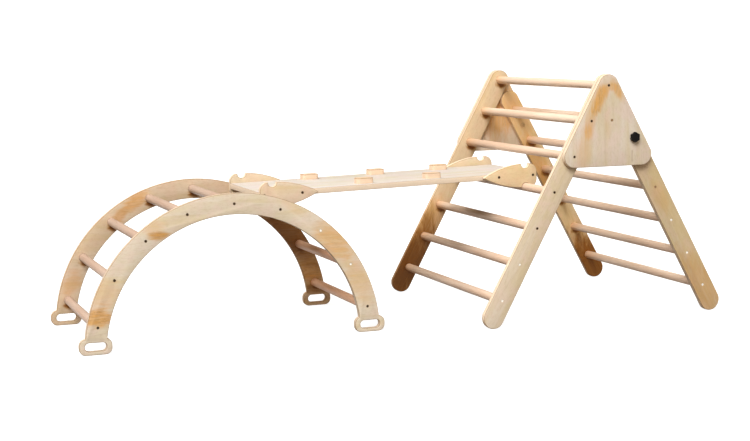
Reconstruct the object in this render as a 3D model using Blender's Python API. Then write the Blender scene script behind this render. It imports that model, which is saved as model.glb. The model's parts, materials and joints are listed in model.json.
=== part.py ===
# Wooden climbing frame for a nursery: a folding triangle of two ladders, a rung arch that is also
# a rocker, and a climbing board whose hooks rest on one rung of each.
# Metres, +Z up. +X runs from the arch to the triangle, and the child climbs along it. The origin is
# on the floor, at the centre of the whole set. "near" is the -Y side and "far" is the +Y side.

import math

import bmesh
import bpy

for old in list(bpy.data.objects):
    bpy.data.objects.remove(old, do_unlink=True)

# Stock shared by all three units
PLY_THICKNESS = 0.018
RUNG_DIAMETER = 0.028
SOCKET_DEPTH = 0.007
FIT_GAP = 0.0003
EDGE_CHAMFER = 0.002
CUT_OVERRUN = 0.004

# Wood screws, countersunk
SCREW_HEAD_DIAMETER = 0.0085
SCREW_SHANK_DIAMETER = 0.0045
SCREW_HEAD_DEPTH = 0.002
SCREW_GRIP = 0.022

# Folding triangle
RUNG_PITCH = 0.130
FRONT_RUNG_COUNT = 7
LADDER_WIDTH = 0.817
RAIL_WIDTH = 0.072
RAIL_FOOT = 0.0616
REAR_RAIL_HEAD = 0.042
HALF_ANGLE = math.radians(28.8)
PLATED_RUNGS = 3
PIVOT_PITCHES = 1.5

# Pivot knobs, their studs and the threaded inserts, and the dowels that stop the spread
KNOB_DIAMETER = 0.034
KNOB_THICKNESS = 0.012
KNOB_HUB_DIAMETER = 0.018
KNOB_HUB_HEIGHT = 0.002
KNOB_LOBES = 6
KNOB_LOBE_DEPTH = 0.0022
KNOB_EDGE = 0.0025
STUD_DIAMETER = 0.008
STUD_IN_KNOB = 0.010
INSERT_DIAMETER = 0.012
INSERT_LENGTH = 0.013
INSERT_FLANGE_DIAMETER = 0.018
INSERT_FLANGE_THICKNESS = 0.0015
STOP_DIAMETER = 0.016
STOP_LENGTH = 0.017
STOP_LEVER = 0.090

# Rung arch
ARCH_RUNG_COUNT = 9
ARCH_RUNG_STEP = math.radians(19.6)
ARCH_RUNG_RADIUS = 0.442
ARCH_BAND_WIDTH = 0.066
ARCH_CENTRE_DROP = 0.006
ARCH_WIDTH = 0.550
FOOT_LENGTH = 0.100
FOOT_HEIGHT = 0.050
FOOT_CORNER = 0.021
SLOT_LENGTH = 0.066
SLOT_HEIGHT = 0.026

# Climbing board
HOOK_SPACING = 0.887
HOOK_CLEARANCE = 0.0005
BOARD_WIDTH = 0.335
BOARD_THICKNESS = 0.018
BOARD_RISE = 0.039
BOARD_SHIFT = -0.015
BOARD_EDGE_ROUND = 0.0015
CHEEK_HEIGHT = 0.080
CHEEK_TIP = 0.151
CHEEK_TAIL = 0.042
CHEEK_TAIL_CORNER = 0.027
CHEEK_SCREW_INNER = 0.098
CHEEK_SCREW_OUTER = 0.028
CHEEK_FLANK_POWER = 2.1
BLOCK_LENGTH = 0.056
BLOCK_WIDTH = 0.042
BLOCK_HEIGHT = 0.018
BLOCK_CORNER = 0.010
BLOCK_CHAMFER = 0.003
BLOCK_INSET = 0.022
# How far along the board, from the arch's hook to the triangle's, and whether on the far side
BLOCK_PLACE_SHARES = ((0.252, True), (0.371, False), (0.523, True), (0.642, False), (0.789, True))

# Which rungs carry the board: the fourth from the top, and the next after the arch's crown
LADDER_HOOK_RUNG = 3
ARCH_HOOK_STEPS = 1

# Faces round a circle, and the steepest edge that is still shaded smooth
ROUND_SIDES = 10
ARC_STEP = math.radians(15)
CORNER_STEP = math.radians(30)
NOTCH_STEP = math.radians(22.5)
BAND_STEP = math.radians(6)
KNOB_SIDES = 30
FLANK_POINTS = 5
SMOOTH_ANGLE = math.radians(40)

# Derived sizes
rung_radius = RUNG_DIAMETER / 2
socket_radius = rung_radius + FIT_GAP
head_radius = SCREW_HEAD_DIAMETER / 2
shank_radius = SCREW_SHANK_DIAMETER / 2
head_slope = (head_radius - shank_radius) / SCREW_HEAD_DEPTH
rail_half = RAIL_WIDTH / 2
ladder_half = LADDER_WIDTH / 2
plate_outer = ladder_half + FIT_GAP + PLY_THICKNESS
rail_reach = (FRONT_RUNG_COUNT - 1) * RUNG_PITCH + RAIL_FOOT
pivot_reach = PIVOT_PITCHES * RUNG_PITCH
stud_radius = STUD_DIAMETER / 2
arch_half = ARCH_WIDTH / 2
band_inner = ARCH_RUNG_RADIUS - ARCH_BAND_WIDTH / 2
band_outer = ARCH_RUNG_RADIUS + ARCH_BAND_WIDTH / 2
foot_centre_height = FOOT_HEIGHT / 2
foot_offset = math.sqrt(ARCH_RUNG_RADIUS**2 - (ARCH_CENTRE_DROP + foot_centre_height) ** 2)
board_half = BOARD_WIDTH / 2
cheek_half = CHEEK_HEIGHT / 2
notch_radius = rung_radius + HOOK_CLEARANCE

# Where the units stand: the board's hook spacing sets the distance between arch and triangle
apex_height = rail_reach * math.cos(HALF_ANGLE) + rail_half
hook_drop = LADDER_HOOK_RUNG * RUNG_PITCH * math.cos(HALF_ANGLE)
hook_left = LADDER_HOOK_RUNG * RUNG_PITCH * math.sin(HALF_ANGLE)
ladder_hook_height = apex_height - hook_drop
arch_hook_height = ARCH_RUNG_RADIUS * math.cos(ARCH_HOOK_STEPS * ARCH_RUNG_STEP) - ARCH_CENTRE_DROP
arch_hook_right = ARCH_RUNG_RADIUS * math.sin(ARCH_HOOK_STEPS * ARCH_RUNG_STEP)
board_rise_end_to_end = ladder_hook_height - arch_hook_height
board_slope = math.asin(board_rise_end_to_end / HOOK_SPACING)
apex_to_arch = hook_left + HOOK_SPACING * math.cos(board_slope) + arch_hook_right
reach_right = rail_reach * math.sin(HALF_ANGLE) + rail_half
reach_left = apex_to_arch + foot_offset + FOOT_LENGTH / 2
apex_x = (reach_left - reach_right) / 2
arch_x = apex_x - apex_to_arch


def make_material(name, colour, roughness, metallic):
    material = bpy.data.materials.new(name)
    material.use_nodes = True
    shader = material.node_tree.nodes["Principled BSDF"]
    shader.inputs["Base Color"].default_value = (*colour, 1)
    shader.inputs["Roughness"].default_value = roughness
    shader.inputs["Metallic"].default_value = metallic
    material.diffuse_color = (*colour, 1)
    return material


birch_ply = make_material("birch_ply", (0.74, 0.58, 0.39), 0.55, 0)
beech = make_material("beech", (0.78, 0.55, 0.38), 0.5, 0)
zinc_steel = make_material("zinc_steel", (0.55, 0.54, 0.52), 0.35, 1)
black_plastic = make_material("black_plastic", (0.015, 0.015, 0.016), 0.4, 0)


def add_empty(name, x, z, tilt=0.0, y=0.0):
    empty = bpy.data.objects.new(name, None)
    bpy.context.scene.collection.objects.link(empty)
    empty.location = (x, y, z)
    empty.rotation_euler = (0, tilt, 0)
    return empty


def add_object(name, mesh, parent, material, place=(0, 0, 0)):
    part = bpy.data.objects.new(name, mesh)
    bpy.context.scene.collection.objects.link(part)
    part.parent = parent
    part.location = place
    if material and not mesh.materials:
        mesh.materials.append(material)
    return part


def finish_mesh(name, bm):
    bmesh.ops.recalc_face_normals(bm, faces=bm.faces)
    mesh = bpy.data.meshes.new(name)
    bm.to_mesh(mesh)
    bm.free()
    mesh.shade_smooth()
    mesh.set_sharp_from_angle(angle=SMOOTH_ANGLE)
    return mesh


# Outlines, as (x, z) points in the plane of a panel
def arc(centre_x, centre_z, radius, start, end, step=ARC_STEP):
    count = max(2, math.ceil(round(abs(end - start) / step, 6)))
    turns = [start + (end - start) * i / count for i in range(count + 1)]
    return [(centre_x + radius * math.cos(t), centre_z + radius * math.sin(t)) for t in turns]


def rail_outline(top, bottom):
    upper = arc(0, top, rail_half, 0, math.pi)
    lower = arc(0, bottom, rail_half, math.pi, 2 * math.pi)
    return upper + lower


def rounded_box(length, height, corner, centre_x=0.0, centre_z=0.0):
    reach_x = length / 2 - corner
    reach_z = height / 2 - corner
    points = []
    for turn, (side_x, side_z) in enumerate(((1, 1), (-1, 1), (-1, -1), (1, -1))):
        start = turn * math.pi / 2
        corner_x = centre_x + side_x * reach_x
        corner_z = centre_z + side_z * reach_z
        points += arc(corner_x, corner_z, corner, start, start + math.pi / 2, CORNER_STEP)
    return points


def without_doubles(points):
    kept = [points[0]]
    for point in points[1:]:
        if math.dist(point, kept[-1]) > FIT_GAP:
            kept.append(point)
    if math.dist(kept[0], kept[-1]) <= FIT_GAP:
        kept.pop()
    return kept


# The outline of circles of one radius, as a tight belt round them
def belt_outline(centres, radius):
    points = []
    count = len(centres)
    for i, (x, z) in enumerate(centres):
        before = centres[i - 1]
        after = centres[(i + 1) % count]
        start = math.atan2(z - before[1], x - before[0]) - math.pi / 2
        end = math.atan2(after[1] - z, after[0] - x) - math.pi / 2
        if end < start:
            end += 2 * math.pi
        points += arc(x, z, radius, start, end)
    return points


# Solids
def extrude_outline(bm, outline, low, high):
    low_ring = [bm.verts.new((x, low, z)) for x, z in outline]
    high_ring = [bm.verts.new((x, high, z)) for x, z in outline]
    bm.faces.new(low_ring)
    bm.faces.new(reversed(high_ring))
    for i, corner in enumerate(low_ring):
        j = (i + 1) % len(low_ring)
        bm.faces.new((corner, high_ring[i], high_ring[j], low_ring[j]))


def chamfered_panel(name, outline, low, high, chamfer=EDGE_CHAMFER):
    bm = bmesh.new()
    extrude_outline(bm, without_doubles(outline), low, high)
    bmesh.ops.recalc_face_normals(bm, faces=bm.faces)
    rims = [e for e in bm.edges if e.verts[0].co.y == e.verts[1].co.y]
    bmesh.ops.bevel(bm, geom=rims, offset=chamfer, segments=1, affect="EDGES")
    return finish_mesh(name, bm)


# A closed skin over rings of points, with a flat end at the first and the last ring
def skin_rings(bm, rings):
    for ring, following in zip(rings, rings[1:]):
        for i in range(len(ring)):
            j = (i + 1) % len(ring)
            bm.faces.new((ring[i], ring[j], following[j], following[i]))
    bm.faces.new(rings[0])
    bm.faces.new(reversed(rings[-1]))


# A turned shape round an axis along Y, from (y, radius) points
def turn_profile(bm, profile, x=0.0, z=0.0, sides=ROUND_SIDES):
    turns = [2 * math.pi * (i + 0.5) / sides for i in range(sides)]
    rings = []
    for y, radius in profile:
        points = [(x + radius * math.cos(t), y, z + radius * math.sin(t)) for t in turns]
        rings.append([bm.verts.new(point) for point in points])
    skin_rings(bm, rings)


def turned_mesh(name, profile, sides=ROUND_SIDES):
    bm = bmesh.new()
    turn_profile(bm, profile, sides=sides)
    return finish_mesh(name, bm)


def cut(part, cutter_mesh):
    cutter = add_object(part.name + "_cutter", cutter_mesh, part.parent, None, part.location)
    cutter.hide_render = True
    cutter.display_type = "WIRE"
    boolean = part.modifiers.new("cuts", "BOOLEAN")
    boolean.operation = "DIFFERENCE"
    boolean.solver = "EXACT"
    boolean.object = cutter


# A screw hole with a countersunk mouth at y = face, going towards the inside of the panel
def countersunk_profile(side, face, end):
    hole = shank_radius + FIT_GAP
    mouth = hole + head_slope * (SCREW_HEAD_DEPTH + CUT_OVERRUN)
    return [
        (side * (face + CUT_OVERRUN), mouth),
        (side * (face - SCREW_HEAD_DEPTH), hole),
        (side * end, hole),
    ]


# The hole for a rung's end: a screw hole from outside, and a blind socket from inside
def rung_hole_profile(side, face, countersunk):
    socket_floor = face - PLY_THICKNESS + SOCKET_DEPTH
    inside = face - PLY_THICKNESS - CUT_OVERRUN
    if countersunk:
        profile = countersunk_profile(side, face, socket_floor)
    else:
        hole = shank_radius + FIT_GAP
        profile = [(side * (face + CUT_OVERRUN), hole), (side * socket_floor, hole)]
    return profile + [(side * socket_floor, socket_radius), (side * inside, socket_radius)]


# A rung with the screw that is driven into each of its ends
def rung_profile(panel_face, head_face):
    rung_end = panel_face - PLY_THICKNESS + SOCKET_DEPTH - FIT_GAP
    half = [
        (head_face, head_radius),
        (head_face - SCREW_HEAD_DEPTH, shank_radius),
        (rung_end, shank_radius),
        (rung_end, rung_radius),
    ]
    return half + [(-y, radius) for y, radius in reversed(half)]


def screw_profile(side, face, grip):
    return [
        (side * face, head_radius),
        (side * (face - SCREW_HEAD_DEPTH), shank_radius),
        (side * (face - grip), shank_radius),
    ]


sides_by_name = (("near", -1), ("far", 1))


# Front ladder: it carries the gusset plates, and is the frame that the rest is joined to
front_empty = add_empty("front_ladder_origin", apex_x, apex_height, HALF_ANGLE)
apex_empty = add_empty("apex_origin", apex_x, apex_height)
front_rung_places = [-i * RUNG_PITCH for i in range(FRONT_RUNG_COUNT)]


def build_front_ladder():
    outline = rail_outline(0, -rail_reach)
    for label, side in sides_by_name:
        inner, outer = sorted((side * (ladder_half - PLY_THICKNESS), side * ladder_half))
        mesh = chamfered_panel("front_rail_" + label, outline, inner, outer)
        rail = add_object("front_rail_" + label, mesh, front_empty, birch_ply)
        holes = bmesh.new()
        for i, z in enumerate(front_rung_places):
            turn_profile(holes, rung_hole_profile(side, ladder_half, i >= PLATED_RUNGS), z=z)
        cut(rail, finish_mesh("front_rail_holes_" + label, holes))
    short = turned_mesh("ladder_rung", rung_profile(ladder_half, ladder_half))
    long = turned_mesh("plated_rung", rung_profile(ladder_half, plate_outer))
    for i, z in enumerate(front_rung_places):
        mesh = long if i < PLATED_RUNGS else short
        add_object(f"front_rung_{i + 1}", mesh, front_empty, beech, (0, 0, z))
    return short


ladder_rung_mesh = build_front_ladder()


# A place at a distance down one ladder and off to its side, seen from the apex. The front ladder
# runs towards -X and the rear ladder towards +X, and a positive offset is towards the other ladder.
def below_apex(distance, direction, offset=0.0):
    sine, cosine = math.sin(HALF_ANGLE), math.cos(HALF_ANGLE)
    return direction * (distance * sine - offset * cosine), -(distance * cosine + offset * sine)


stop_place = below_apex(pivot_reach - STOP_LEVER, 1, rail_half + FIT_GAP + STOP_DIAMETER / 2)


# Gusset plates, with the dowels inside them that stop the rear ladder's spread
def build_plates():
    corner_reach = (PLATED_RUNGS - 1) * RUNG_PITCH
    corners = [(0, 0), below_apex(corner_reach, -1), below_apex(corner_reach, 1)]
    outline = belt_outline(corners, rail_half)
    pivot = below_apex(pivot_reach, 1)
    through = ladder_half - CUT_OVERRUN
    for label, side in sides_by_name:
        low, high = sorted((side * (ladder_half + FIT_GAP), side * plate_outer))
        mesh = chamfered_panel("gusset_plate_" + label, outline, low, high)
        plate = add_object("gusset_plate_" + label, mesh, apex_empty, birch_ply)
        holes = bmesh.new()
        for i in range(PLATED_RUNGS):
            x, z = below_apex(i * RUNG_PITCH, -1)
            turn_profile(holes, countersunk_profile(side, plate_outer, through), x, z)
        turn_profile(holes, countersunk_profile(side, plate_outer, through), *stop_place)
        clear = stud_radius + FIT_GAP
        pivot_hole = [(side * (plate_outer + CUT_OVERRUN), clear), (side * through, clear)]
        turn_profile(holes, pivot_hole, *pivot)
        cut(plate, finish_mesh("gusset_plate_holes_" + label, holes))

        x, z = stop_place
        dowel_radius = STOP_DIAMETER / 2
        dowel_end = ladder_half - STOP_LENGTH
        shape = [(side * ladder_half, dowel_radius), (side * dowel_end, dowel_radius)]
        mesh = turned_mesh("stop_dowel_" + label, shape)
        dowel = add_object("stop_dowel_" + label, mesh, apex_empty, beech, (x, 0, z))
        pilot = shank_radius + FIT_GAP
        tip = plate_outer - PLY_THICKNESS - STOP_LENGTH / 2
        bore = [(side * (ladder_half + CUT_OVERRUN), pilot), (side * (tip - FIT_GAP), pilot)]
        cut(dowel, turned_mesh("stop_pilot_" + label, bore))
        mesh = turned_mesh("stop_screw_" + label, screw_profile(side, plate_outer, plate_outer - tip))
        add_object("stop_screw_" + label, mesh, apex_empty, zinc_steel, (x, 0, z))


build_plates()


# Rear ladder: it turns about the two pivot studs
pivot_x, pivot_z = below_apex(pivot_reach, 1)
rear_empty = add_empty("rear_pivot", apex_x + pivot_x, apex_height + pivot_z, -HALF_ANGLE)


def build_rear_ladder():
    places = [pivot_reach - i * RUNG_PITCH for i in range(1, FRONT_RUNG_COUNT)]
    top = places[0] + REAR_RAIL_HEAD
    outline = rail_outline(top, pivot_reach - rail_reach)
    seat = INSERT_DIAMETER / 2 + FIT_GAP
    clear = stud_radius + FIT_GAP
    inner_face = ladder_half - PLY_THICKNESS
    for label, side in sides_by_name:
        low, high = sorted((side * inner_face, side * ladder_half))
        mesh = chamfered_panel("rear_rail_" + label, outline, low, high)
        rail = add_object("rear_rail_" + label, mesh, rear_empty, birch_ply)
        holes = bmesh.new()
        for z in places:
            turn_profile(holes, rung_hole_profile(side, ladder_half, True), z=z)
        seat_floor = inner_face + INSERT_LENGTH + FIT_GAP
        bore = [
            (side * (ladder_half + CUT_OVERRUN), clear),
            (side * seat_floor, clear),
            (side * seat_floor, seat),
            (side * (inner_face - CUT_OVERRUN), seat),
        ]
        turn_profile(holes, bore)
        cut(rail, finish_mesh("rear_rail_holes_" + label, holes))

        flange_face = inner_face - FIT_GAP
        flange_end = flange_face - INSERT_FLANGE_THICKNESS
        body = [
            (side * (inner_face + INSERT_LENGTH), INSERT_DIAMETER / 2),
            (side * flange_face, INSERT_DIAMETER / 2),
            (side * flange_face, INSERT_FLANGE_DIAMETER / 2),
            (side * flange_end, INSERT_FLANGE_DIAMETER / 2),
        ]
        mesh = turned_mesh("insert_" + label, body)
        insert = add_object("pivot_insert_" + label, mesh, rear_empty, zinc_steel)
        thread = [(side * ladder_half, clear), (side * (flange_end - CUT_OVERRUN), clear)]
        cut(insert, turned_mesh("insert_bore_" + label, thread))
    for i, z in enumerate(places):
        add_object(f"rear_rung_{i + 2}", ladder_rung_mesh, rear_empty, beech, (0, 0, z))


build_rear_ladder()


# Pivot knobs: a lobed head on a round hub, moulded on a threaded stud. One lobe points up.
def knob_ring(bm, y, radius, lobe_depth):
    ring = []
    for i in range(KNOB_SIDES):
        turn = 2 * math.pi * (i + 0.5) / KNOB_SIDES
        r = radius - lobe_depth * (1 - math.cos(KNOB_LOBES * (turn - math.pi / 2))) / 2
        ring.append(bm.verts.new((r * math.cos(turn), y, r * math.sin(turn))))
    return ring


def knob_mesh(name, side):
    hub = KNOB_HUB_DIAMETER / 2
    head = KNOB_DIAMETER / 2
    start = plate_outer + FIT_GAP
    shoulder = start + KNOB_HUB_HEIGHT
    top = shoulder + KNOB_THICKNESS
    stations = (
        (start, hub, 0),
        (shoulder, hub, 0),
        (shoulder, head - KNOB_EDGE, KNOB_LOBE_DEPTH),
        (shoulder + KNOB_EDGE, head, KNOB_LOBE_DEPTH),
        (top - KNOB_EDGE, head, KNOB_LOBE_DEPTH),
        (top, head - KNOB_EDGE, KNOB_LOBE_DEPTH),
    )
    bm = bmesh.new()
    skin_rings(bm, [knob_ring(bm, side * y, radius, depth) for y, radius, depth in stations])
    return finish_mesh(name, bm)


def build_knobs():
    for label, side in sides_by_name:
        empty = add_empty("knob_axis_" + label, apex_x + pivot_x, apex_height + pivot_z)
        mesh = knob_mesh("pivot_knob_" + label, side)
        knob = add_object("pivot_knob_" + label, mesh, empty, black_plastic)
        stud_top = plate_outer + FIT_GAP + STUD_IN_KNOB
        socket = stud_radius + FIT_GAP
        bore = [(side * (stud_top + FIT_GAP), socket), (side * (plate_outer - CUT_OVERRUN), socket)]
        cut(knob, turned_mesh("knob_bore_" + label, bore))
        stud_end = ladder_half - PLY_THICKNESS - INSERT_FLANGE_THICKNESS
        shape = [(side * stud_top, stud_radius), (side * stud_end, stud_radius)]
        add_object("pivot_stud_" + label, turned_mesh("pivot_stud_" + label, shape), empty, zinc_steel)


build_knobs()


# Rung arch
arch_empty = add_empty("arch_origin", arch_x, -ARCH_CENTRE_DROP)
arch_rung_places = []
for i in range(ARCH_RUNG_COUNT):
    turn = math.pi / 2 + (ARCH_RUNG_COUNT // 2 - i) * ARCH_RUNG_STEP
    arch_rung_places.append((ARCH_RUNG_RADIUS * math.cos(turn), ARCH_RUNG_RADIUS * math.sin(turn)))


# Where the run from one point to the next crosses a circle round the arch's centre
def crossing(start, end, radius):
    run = (end[0] - start[0], end[1] - start[1])
    a = run[0] ** 2 + run[1] ** 2
    b = start[0] * run[0] + start[1] * run[1]
    c = start[0] ** 2 + start[1] ** 2 - radius**2
    root = math.sqrt(max(0, b * b - a * c))
    share = min(((-b - root) / a, (-b + root) / a), key=lambda s: abs(s - 0.5))
    return start[0] + share * run[0], start[1] + share * run[1]


# The part of a foot's outline that stands out of the band, from the outer side round to the inner
def foot_outline(side):
    centre_z = foot_centre_height + ARCH_CENTRE_DROP
    loop = without_doubles(rounded_box(FOOT_LENGTH, FOOT_HEIGHT, FOOT_CORNER, foot_offset, centre_z))
    loop = loop[::-1]
    inside = [band_inner < math.hypot(*p) < band_outer and p[1] > centre_z for p in loop]
    last = max(i for i in range(len(loop)) if inside[i] and not inside[(i + 1) % len(loop)])
    loop = loop[last:] + loop[:last]
    inside = inside[last:] + inside[:last]
    bare = [p for p, hidden in zip(loop, inside) if not hidden]
    leaving = crossing(loop[0], loop[1], band_outer)
    back = len(bare)
    entering = crossing(loop[back], loop[(back + 1) % len(loop)], band_inner)
    points = [leaving] + bare + [entering]
    return [(side * x, z) for x, z in points]


def arch_outline():
    right = foot_outline(1)
    left = foot_outline(-1)
    outer_turn = math.atan2(right[0][1], right[0][0])
    inner_turn = math.atan2(right[-1][1], right[-1][0])
    over = arc(0, 0, band_outer, math.pi - outer_turn, outer_turn, BAND_STEP)
    under = arc(0, 0, band_inner, inner_turn, math.pi - inner_turn, BAND_STEP)
    return over + right + under + left[::-1]


def build_arch():
    outline = arch_outline()
    for label, side in sides_by_name:
        low, high = sorted((side * (arch_half - PLY_THICKNESS), side * arch_half))
        mesh = chamfered_panel("arch_panel_" + label, outline, low, high)
        panel = add_object("arch_panel_" + label, mesh, arch_empty, birch_ply)
        cuts = bmesh.new()
        for x, z in arch_rung_places:
            turn_profile(cuts, rung_hole_profile(side, arch_half, True), x, z)
        for foot_side in (-1, 1):
            slot = rounded_box(
                SLOT_LENGTH,
                SLOT_HEIGHT,
                SLOT_HEIGHT / 2 - FIT_GAP,
                foot_side * foot_offset,
                foot_centre_height + ARCH_CENTRE_DROP,
            )
            extrude_outline(cuts, without_doubles(slot), low - CUT_OVERRUN, high + CUT_OVERRUN)
        cut(panel, finish_mesh("arch_panel_cuts_" + label, cuts))
    mesh = turned_mesh("arch_rung", rung_profile(arch_half, arch_half))
    for i, (x, z) in enumerate(arch_rung_places):
        add_object(f"arch_rung_{i + 1}", mesh, arch_empty, beech, (x, 0, z))


build_arch()


# Climbing board: its frame starts on the ladder's hook rung and runs along the board, with the
# arch's hook at x = -HOOK_SPACING. The hooks are cut in the lower and upper edges of four cheeks,
# so that the board can be hung with its blocks up or its smooth side up.
board_empty = add_empty("board_hook", apex_x - hook_left, ladder_hook_height, -board_slope, BOARD_SHIFT)
board_outer = board_half + FIT_GAP + PLY_THICKNESS


# A cheek seen from its hook: x runs to the pointed tip, and z is zero in the middle of the board
def cheek_outline():
    flank = []
    start = notch_radius / CHEEK_TIP
    for i in range(1, FLANK_POINTS):
        share = start + (1 - start) * i / FLANK_POINTS
        flank.append((share * CHEEK_TIP, cheek_half * (1 - share**CHEEK_FLANK_POWER)))
    lip = cheek_half * (1 - start**CHEEK_FLANK_POWER)
    notch = arc(0, BOARD_RISE, notch_radius, 2 * math.pi, math.pi, NOTCH_STEP)
    corner = CHEEK_TAIL_CORNER
    tail = arc(corner - CHEEK_TAIL, cheek_half - corner, corner, math.pi / 2, math.pi, CORNER_STEP)
    upper = [(CHEEK_TIP, 0)] + flank[::-1] + [(notch_radius, lip)]
    upper += notch + [(-notch_radius, cheek_half)] + tail
    lower = [(x, -z) for x, z in reversed(upper[1:])]
    return upper + lower


def build_cheeks():
    outline = cheek_outline()
    ends = (("ladder", 0, -1), ("arch", -HOOK_SPACING, 1))
    for end_label, hook_x, tip_way in ends:
        points = [(hook_x + tip_way * x, BOARD_RISE + z) for x, z in outline]
        for label, side in sides_by_name:
            name = f"hook_cheek_{end_label}_{label}"
            low, high = sorted((side * (board_half + FIT_GAP), side * board_outer))
            cheek = add_object(name, chamfered_panel(name, points, low, high), board_empty, birch_ply)
            cuts = bmesh.new()
            for number, reach in enumerate((CHEEK_SCREW_INNER, -CHEEK_SCREW_OUTER)):
                x = hook_x + tip_way * reach
                hole = countersunk_profile(side, board_outer, board_half - CUT_OVERRUN)
                turn_profile(cuts, hole, x, BOARD_RISE)
                shape = screw_profile(side, board_outer, PLY_THICKNESS + SCREW_GRIP)
                screw = turned_mesh("cheek_screw", shape)
                screw_name = f"cheek_screw_{end_label}_{label}_{number + 1}"
                add_object(screw_name, screw, board_empty, zinc_steel, (x, 0, BOARD_RISE))
            cut(cheek, finish_mesh(name + "_holes", cuts))


def build_board():
    start, end = -HOOK_SPACING - CHEEK_TAIL, CHEEK_TAIL
    low = BOARD_RISE - BOARD_THICKNESS / 2
    high = BOARD_RISE + BOARD_THICKNESS / 2
    outline = [(start, low), (end, low), (end, high), (start, high)]
    mesh = chamfered_panel("board_panel", outline, -board_half, board_half, BOARD_EDGE_ROUND)
    panel = add_object("board_panel", mesh, board_empty, birch_ply)
    pilots = bmesh.new()
    pilot = shank_radius + FIT_GAP
    for hook_x, tip_way in ((0, -1), (-HOOK_SPACING, 1)):
        for reach in (CHEEK_SCREW_INNER, -CHEEK_SCREW_OUTER):
            for label, side in sides_by_name:
                tip = board_outer - PLY_THICKNESS - SCREW_GRIP - FIT_GAP
                bore = [(side * (board_half + CUT_OVERRUN), pilot), (side * tip, pilot)]
                turn_profile(pilots, bore, hook_x + tip_way * reach, BOARD_RISE)
    cut(panel, finish_mesh("board_pilots", pilots))


def build_blocks():
    base = BOARD_RISE + BOARD_THICKNESS / 2 + FIT_GAP
    bm = bmesh.new()
    outline = without_doubles(rounded_box(BLOCK_LENGTH, BLOCK_WIDTH, BLOCK_CORNER))
    extrude_outline(bm, outline, 0, BLOCK_HEIGHT)
    for vertex in bm.verts:
        vertex.co.y, vertex.co.z = vertex.co.z, vertex.co.y
    bmesh.ops.recalc_face_normals(bm, faces=bm.faces)
    rim = [e for e in bm.edges if all(v.co.z > BLOCK_HEIGHT / 2 for v in e.verts)]
    bmesh.ops.bevel(bm, geom=rim, offset=BLOCK_CHAMFER, segments=1, affect="EDGES")
    mesh = finish_mesh("climbing_block", bm)
    for i, (share, far) in enumerate(BLOCK_PLACE_SHARES):
        y = board_half - BLOCK_INSET - BLOCK_WIDTH / 2
        place = ((share - 1) * HOOK_SPACING, y if far else -y, base)
        add_object(f"climbing_block_{i + 1}", mesh, board_empty, birch_ply, place)


build_cheeks()
build_board()
build_blocks()
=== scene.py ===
# Looks of a wooden climbing set: a folding triangle, a rung arch and a climbing board.
# Metres, +Z up. The near side is -Y, where the camera stands.

import json
import math
import random

import bmesh
import bpy
from mathutils import Matrix, Vector


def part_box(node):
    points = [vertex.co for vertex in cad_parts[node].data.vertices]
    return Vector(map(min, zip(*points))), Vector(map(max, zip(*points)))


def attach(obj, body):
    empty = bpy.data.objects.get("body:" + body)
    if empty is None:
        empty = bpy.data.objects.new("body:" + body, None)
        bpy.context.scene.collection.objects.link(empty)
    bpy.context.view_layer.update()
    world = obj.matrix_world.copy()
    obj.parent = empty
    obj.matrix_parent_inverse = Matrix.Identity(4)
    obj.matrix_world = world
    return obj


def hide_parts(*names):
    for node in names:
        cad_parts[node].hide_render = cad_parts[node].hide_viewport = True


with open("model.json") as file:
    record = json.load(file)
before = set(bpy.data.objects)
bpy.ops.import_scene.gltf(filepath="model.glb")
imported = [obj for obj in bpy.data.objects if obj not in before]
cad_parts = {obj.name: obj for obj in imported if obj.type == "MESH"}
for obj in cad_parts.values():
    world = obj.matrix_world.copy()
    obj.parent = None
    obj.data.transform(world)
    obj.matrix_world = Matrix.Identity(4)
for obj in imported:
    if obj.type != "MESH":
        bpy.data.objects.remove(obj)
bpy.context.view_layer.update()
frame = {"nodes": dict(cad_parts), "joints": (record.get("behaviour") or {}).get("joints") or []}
quarterTurn = math.pi / 2
sideWays = {"near": -1, "far": 1}
print("stage: frame loaded, nodes", len(frame["nodes"]))


# Camera and stage

# Set by fitting the frame's own points to the photograph
cameraPlace = {
    "eye": (-1.8183, -4.7444, 0.9383),
    "turn": math.radians(20.7575),
    "dip": math.radians(6.9198),
    "roll": math.radians(-0.8015),
    "lens": 72.383,
    "sensor": 36.0,
}
studio = {
    "floorSize": 60.0,
    "floorTone": (0.40, 0.40, 0.397),
    "floorDim": 0.985,
    "floorGlow": 0.86,
    "skyToCamera": 1.15,
    "skyAbove": (1.0, 0.86, 0.64),
    "skyBelow": (0.30, 0.16, 0.05),
    "skyBlend": 0.35,
    "skyStrength": 0.33,
    # Each lamp: where it shines from, how wide it is in degrees, its strength and its colour
    "lamps": {
        "softKey": ((-0.42, -0.57, 0.70), 32, 3.12, (1.0, 1.0, 1.0)),
        "topSoft": ((-0.50, 0.18, 0.85), 45, 1.45, (1.0, 0.98, 0.96)),
        "frontFill": ((0.10, -0.98, 0.12), 40, 0.42, (1.0, 0.97, 0.92)),
    },
}


def makeCamera():
    turn, dip, roll = cameraPlace["turn"], cameraPlace["dip"], cameraPlace["roll"]
    forward = Vector((math.sin(turn) * math.cos(dip), math.cos(turn) * math.cos(dip), -math.sin(dip)))
    level = Vector((math.cos(turn), -math.sin(turn), 0))
    upright = level.cross(forward)
    right = level * math.cos(roll) + upright * math.sin(roll)
    up = upright * math.cos(roll) - level * math.sin(roll)
    axes = Matrix((right, up, -forward)).transposed().to_4x4()
    bpy.ops.object.camera_add()
    camera = bpy.context.object
    camera.name = "camera"
    camera.matrix_world = Matrix.Translation(cameraPlace["eye"]) @ axes
    camera.data.sensor_width = cameraPlace["sensor"]
    camera.data.lens = cameraPlace["lens"]
    bpy.context.scene.camera = camera


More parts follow.
